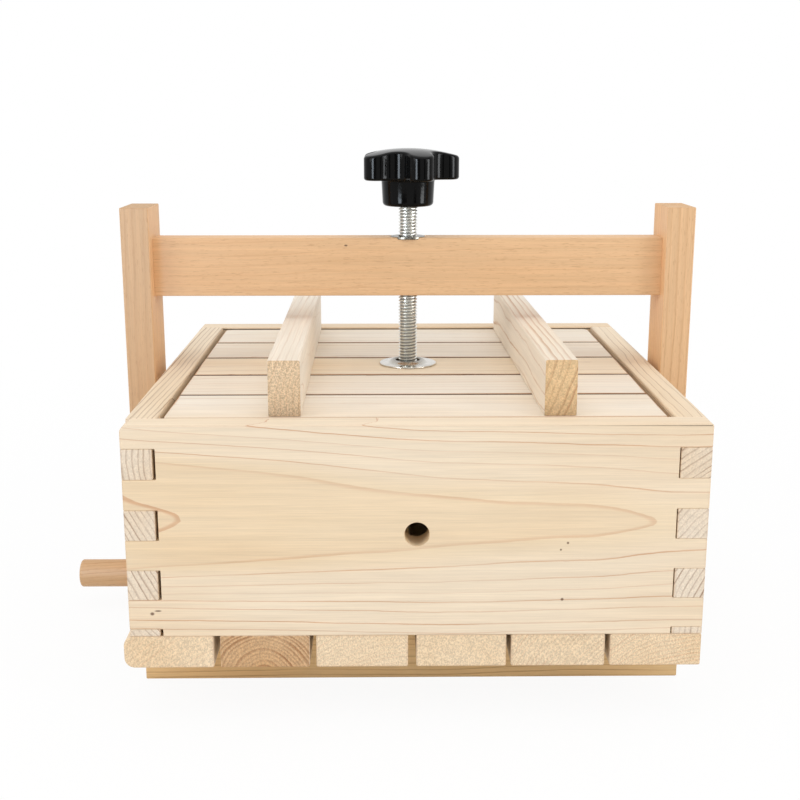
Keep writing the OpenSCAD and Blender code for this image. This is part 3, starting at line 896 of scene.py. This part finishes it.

# %% [markdown]
# ## The screw
# A thread is one ridge that climbs round the stud. The mesh follows it: each row of the sheet is
# a few points across one furrow of the thread, given as (share of the lead, share of the depth),
# and each step round the stud climbs by a share of the lead. At the tip the ridge is cut off by a
# flat face and a chamfer. The grooves are painted greyer than the ridge as shade, because they
# see less light.

# %% Threaded stud
LEAD = 1.5875 * MM
stud_low, stud_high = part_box("screw_stud")
knob_low, knob_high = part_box("star_knob")
SCREW_X = (stud_low.x + stud_high.x) / 2
SCREW_Y = (stud_low.y + stud_high.y) / 2
STUD_RADIUS = (stud_high.x - stud_low.x) / 2
THREAD_DEPTH = 0.6 * LEAD
THREAD_STEPS = 48
THREAD_SHAPE = ((0.06, 0.0), (0.44, 1.0), (0.56, 1.0), (0.94, 0.0))
TIP_CHAMFER = 0.9 * MM
INTO_KNOB = 3 * MM
THREAD_CREASE = math.radians(35)
# Painted shade in the thread's grooves, below the ridge's crest.
THREAD_GROOVE_SHADE = (
    SCREW_X, SCREW_Y, STUD_RADIUS - 0.85 * THREAD_DEPTH, STUD_RADIUS - 0.2 * THREAD_DEPTH
)
thread_zinc = metal_material(
    "thread_zinc", srgb(238, 238, 233), 0.26, 0.1, 3000.0, THREAD_GROOVE_SHADE
)


def build_stud():
    """The stud's thread as one sheet that winds from the tip into the knob."""
    form = bmesh.new()
    bottom = stud_low.z
    top = knob_low.z + INTO_KNOB
    turns = math.ceil((top - bottom) / LEAD) + 2
    rows = []
    for step in range(turns * THREAD_STEPS + 1):
        angle = 2 * math.pi * step / THREAD_STEPS
        row = []
        for share, depth in THREAD_SHAPE:
            z = bottom + (step / THREAD_STEPS - 1 + share) * LEAD
            radius = STUD_RADIUS - depth * THREAD_DEPTH
            radius = min(radius, STUD_RADIUS - TIP_CHAMFER + max(z - bottom, 0))
            z = min(max(z, bottom), top)
            row.append(
                form.verts.new(
                    (SCREW_X + radius * math.cos(angle), SCREW_Y + radius * math.sin(angle), z)
                )
            )
        rows.append(row)
    last = len(THREAD_SHAPE) - 1
    for step in range(len(rows) - 1):
        here, there = rows[step], rows[step + 1]
        for k in range(last):
            form.faces.new((here[k], there[k], there[k + 1], here[k + 1]))
        if step + THREAD_STEPS + 1 < len(rows):
            above, above_next = rows[step + THREAD_STEPS], rows[step + THREAD_STEPS + 1]
            form.faces.new((here[last], there[last], above_next[0], above[0]))
    bmesh.ops.remove_doubles(form, verts=form.verts, dist=2e-6)
    bmesh.ops.dissolve_degenerate(form, dist=1e-6, edges=form.edges)
    rim = [edge for edge in form.edges if edge.is_boundary]
    bmesh.ops.holes_fill(form, edges=rim, sides=0)
    bmesh.ops.recalc_face_normals(form, faces=form.faces)
    for face in form.faces:
        face.smooth = True
    for edge in form.edges:
        if len(edge.link_faces) == 2 and edge.calc_face_angle(0) > THREAD_CREASE:
            edge.smooth = False
    return add_piece("threaded_stud", form, thread_zinc, "screw_stud")


stud = build_stud()
print("stud faces:", len(stud.data.polygons))

# %% [markdown]
# ## The knob
# The knob's head is a star of five round lobes with a hollow between each pair. Seen from above,
# its outline is made of arcs that flow into each other. The mesh is that outline repeated at
# many heights: drawn in a little where an edge is rounded, and shrunk towards the middle over
# the shallow dome on top and the flat underside.

# %% Knob outline
LOBES = 5
KNOB_RADIUS = 25.4 * MM
LOBE_RADIUS = 6.4 * MM
HOLLOW_BOTTOM = 16.0 * MM
LOBE_MIDDLE = KNOB_RADIUS - LOBE_RADIUS
HALF_LOBE = math.pi / LOBES
HOLLOW_GAP = LOBE_RADIUS - HOLLOW_BOTTOM
HOLLOW_MIDDLE = (LOBE_MIDDLE**2 - HOLLOW_GAP**2) / (
    2 * (HOLLOW_GAP + LOBE_MIDDLE * math.cos(HALF_LOBE))
)
HOLLOW_RADIUS = HOLLOW_MIDDLE - HOLLOW_BOTTOM
OUTLINE_POINTS = 360


def outline_radius(angle, inset=0.0):
    """Distance from the knob's middle to its outline, drawn in by inset, in a direction."""
    turn = abs((angle + HALF_LOBE) % (2 * HALF_LOBE) - HALF_LOBE)
    lobe = LOBE_RADIUS - inset
    hollow = HOLLOW_RADIUS + inset
    lobe_middle = Vector((LOBE_MIDDLE, 0))
    hollow_middle = Vector((math.cos(HALF_LOBE), math.sin(HALF_LOBE))) * HOLLOW_MIDDLE
    touch = lobe_middle + (hollow_middle - lobe_middle).normalized() * lobe
    if turn < math.atan2(touch.y, touch.x):
        side = LOBE_MIDDLE * math.sin(turn)
        return LOBE_MIDDLE * math.cos(turn) + math.sqrt(lobe**2 - side**2)
    rest = HALF_LOBE - turn
    side = HOLLOW_MIDDLE * math.sin(rest)
    return HOLLOW_MIDDLE * math.cos(rest) - math.sqrt(max(hollow**2 - side**2, 0))


def ring_at(form, radius_of, height_of):
    """One closed ring of vertices round the screw's axis."""
    ring = []
    for k in range(OUTLINE_POINTS):
        angle = 2 * math.pi * k / OUTLINE_POINTS
        radius = radius_of(angle)
        ring.append(
            form.verts.new(
                (
                    SCREW_X + radius * math.cos(angle),
                    SCREW_Y + radius * math.sin(angle),
                    height_of(radius),
                )
            )
        )
    return ring


def bridge(form, lower, upper):
    """A band of faces between two rings."""
    count = len(lower)
    for k in range(count):
        after = (k + 1) % count
        form.faces.new((lower[k], lower[after], upper[after], upper[k]))


# %% [markdown]
# The skin of the knob is a stack of such rings: the stud's hole, the rounded lower edge of the
# hub, its tapered side, the underside of the head, the head's rounded lower edge, side and upper
# edge, and the dome.

# %% Knob
HOLE_SHARE = 0.98
HOLE_DEPTH = 2 * MM
HUB_HEIGHT = 13.0 * MM
DOME_HEIGHT = 3.8 * MM
HUB_RADIUS = 13.4 * MM
HUB_TAPER = 0.7 * MM
HUB_EDGE = 2.0 * MM
HEAD_EDGE = 1.3 * MM
EDGE_STEPS = 6
DOME_STEPS = 10
DOME_RADIUS = (KNOB_RADIUS**2 + DOME_HEIGHT**2) / (2 * DOME_HEIGHT)


def dome_height(radius):
    """Height of the head's domed top at a distance from the middle."""
    return knob_high.z - DOME_RADIUS + math.sqrt(DOME_RADIUS**2 - radius**2)


def build_knob():
    """Hub and star-shaped head as one skin, from the stud's hole up to the top."""
    form = bmesh.new()
    low = knob_low.z
    under = low + HUB_HEIGHT
    rings = [
        ring_at(form, lambda a: STUD_RADIUS * HOLE_SHARE, lambda r: low + HOLE_DEPTH),
        ring_at(form, lambda a: STUD_RADIUS * HOLE_SHARE, lambda r: low),
    ]
    small = HUB_RADIUS - HUB_TAPER
    for step in range(EDGE_STEPS + 1):
        turn = math.pi / 2 * step / EDGE_STEPS
        radius = small - HUB_EDGE * (1 - math.sin(turn))
        height = low + HUB_EDGE * (1 - math.cos(turn))
        rings.append(ring_at(form, lambda a, r=radius: r, lambda r, z=height: z))
    rings.append(
        ring_at(form, lambda a: HUB_RADIUS - 0.2 * MM, lambda r: under - 1.2 * MM)
    )
    rings.append(ring_at(form, lambda a: HUB_RADIUS, lambda r: under - 0.4 * MM))
    rings.append(
        ring_at(
            form,
            lambda a: min(HUB_RADIUS + 0.5 * MM, outline_radius(a, HEAD_EDGE) - 0.05 * MM),
            lambda r: under,
        )
    )
    for step in range(EDGE_STEPS + 1):
        turn = math.pi / 2 * step / EDGE_STEPS
        inset = HEAD_EDGE * (1 - math.sin(turn))
        height = under + HEAD_EDGE * (1 - math.cos(turn))
        rings.append(
            ring_at(form, lambda a, i=inset: outline_radius(a, i), lambda r, z=height: z)
        )
    for step in range(EDGE_STEPS + 1):
        turn = math.pi / 2 * step / EDGE_STEPS
        inset = HEAD_EDGE * (1 - math.cos(turn))
        drop = HEAD_EDGE * (1 - math.sin(turn))
        rings.append(
            ring_at(
                form,
                lambda a, i=inset: outline_radius(a, i),
                lambda r, d=drop: dome_height(r) - d,
            )
        )
    for step in range(1, DOME_STEPS):
        share = 1 - step / DOME_STEPS
        rings.append(
            ring_at(
                form, lambda a, s=share: s * outline_radius(a, HEAD_EDGE), dome_height
            )
        )
    for lower, upper in zip(rings, rings[1:]):
        bridge(form, lower, upper)
    form.faces.new(rings[-1])
    for face in form.faces:
        face.smooth = True
    bmesh.ops.recalc_face_normals(form, faces=form.faces)
    return add_piece("star_knob_head", form, phenolic, "star_knob")


knob = build_knob()
print("knob faces:", len(knob.data.polygons))

# %% [markdown]
# ## Washer and insert
# Both are turned shapes: a half section that is spun round the screw's axis. Short arcs at the
# corners of the section keep the rolled look of pressed sheet and catch a thin line of light.

# %% Turned pieces
SPIN_STEPS = 96
CORNER_STEPS = 4


def spin(profile, base):
    """Turns a closed loop of (radius, height above base) round the screw's axis."""
    form = bmesh.new()
    loops = []
    for k in range(SPIN_STEPS):
        angle = 2 * math.pi * k / SPIN_STEPS
        loops.append(
            [
                form.verts.new(
                    (SCREW_X + r * math.cos(angle), SCREW_Y + r * math.sin(angle), base + z)
                )
                for r, z in profile
            ]
        )
    count = len(profile)
    for k in range(SPIN_STEPS):
        here, there = loops[k], loops[(k + 1) % SPIN_STEPS]
        for i in range(count):
            j = (i + 1) % count
            form.faces.new((here[i], there[i], there[j], here[j]))
    bmesh.ops.recalc_face_normals(form, faces=form.faces)
    for face in form.faces:
        face.smooth = True
    for edge in form.edges:
        if edge.calc_face_angle(0) > SHARP_FROM:
            edge.smooth = False
    return form


def rounded(profile, radius):
    """The closed loop with each corner replaced by a short curve."""
    result = []
    count = len(profile)
    for k in range(count):
        corner = Vector(profile[k])
        before = Vector(profile[k - 1]) - corner
        after = Vector(profile[(k + 1) % count]) - corner
        cut = min(radius, before.length / 2.1, after.length / 2.1)
        start = corner + before.normalized() * cut
        stop = corner + after.normalized() * cut
        for step in range(CORNER_STEPS + 1):
            t = step / CORNER_STEPS
            result.append(start * (1 - t) ** 2 + corner * 2 * t * (1 - t) + stop * t**2)
    return [(p.x, p.y) for p in result]


# %% Washer
cup_low, cup_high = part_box("screw_cup")
CUP_RADIUS = (cup_high.x - cup_low.x) / 2
CUP_HOLE = 6.1 * MM
# The washer is darker round its hole: painted shade.
polished = metal_material(
    "polished_steel", srgb(212, 208, 200), 0.14, 0.2, 5000.0,
    painted_inner_shade=(SCREW_X, SCREW_Y, CUP_HOLE, CUP_HOLE + 4.5 * MM),
)
CUP_PROFILE = (
    (CUP_RADIUS, 0.0),
    (CUP_RADIUS, 0.9 * MM),
    (CUP_HOLE + 3.9 * MM, 1.05 * MM),
    (CUP_HOLE + 2.3 * MM, 2.3 * MM),
    (CUP_HOLE + 1.2 * MM, 2.58 * MM),
    (CUP_HOLE + 0.1 * MM, 2.2 * MM),
    (CUP_HOLE, 1.6 * MM),
    (CUP_HOLE + 1.2 * MM, 1.6 * MM),
    (CUP_HOLE + 2.9 * MM, 0.02 * MM),
)
add_piece(
    "cup_washer", spin(rounded(CUP_PROFILE, 0.5 * MM), cup_low.z), polished, "screw_cup",
)
print("washer radius", round(CUP_RADIUS / MM, 2), "mm")

# %% Insert
insert_low, insert_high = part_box("threaded_insert")
FLANGE_RADIUS = (insert_high.x - insert_low.x) / 2
FLANGE_THICKNESS = 1.2 * MM
SLEEVE_RADIUS = 6.0 * MM
INSERT_BORE = STUD_RADIUS + 0.08 * MM
INSERT_LENGTH = insert_high.z - insert_low.z
INSERT_PROFILE = (
    (INSERT_BORE, 0.0),
    (SLEEVE_RADIUS, 0.0),
    (SLEEVE_RADIUS, INSERT_LENGTH - FLANGE_THICKNESS),
    (FLANGE_RADIUS, INSERT_LENGTH - FLANGE_THICKNESS),
    (FLANGE_RADIUS, INSERT_LENGTH),
    (INSERT_BORE, INSERT_LENGTH),
)
add_piece(
    "flanged_insert", spin(rounded(INSERT_PROFILE, 0.3 * MM), insert_low.z), zinc,
    "threaded_insert",
)
print("insert length", round(INSERT_LENGTH / MM, 2), "mm")

# %% [markdown]
# ## Nails
# The nails are real solids in the CAD model with their heads flush in the wood, so they only
# need their metal.

# %% Nails
for node in ("base_nails", "lid_nails"):
    holder = frame["nodes"][node]
    holder.data.materials.clear()
    holder.data.materials.append(zinc)
print("nails given their metal")
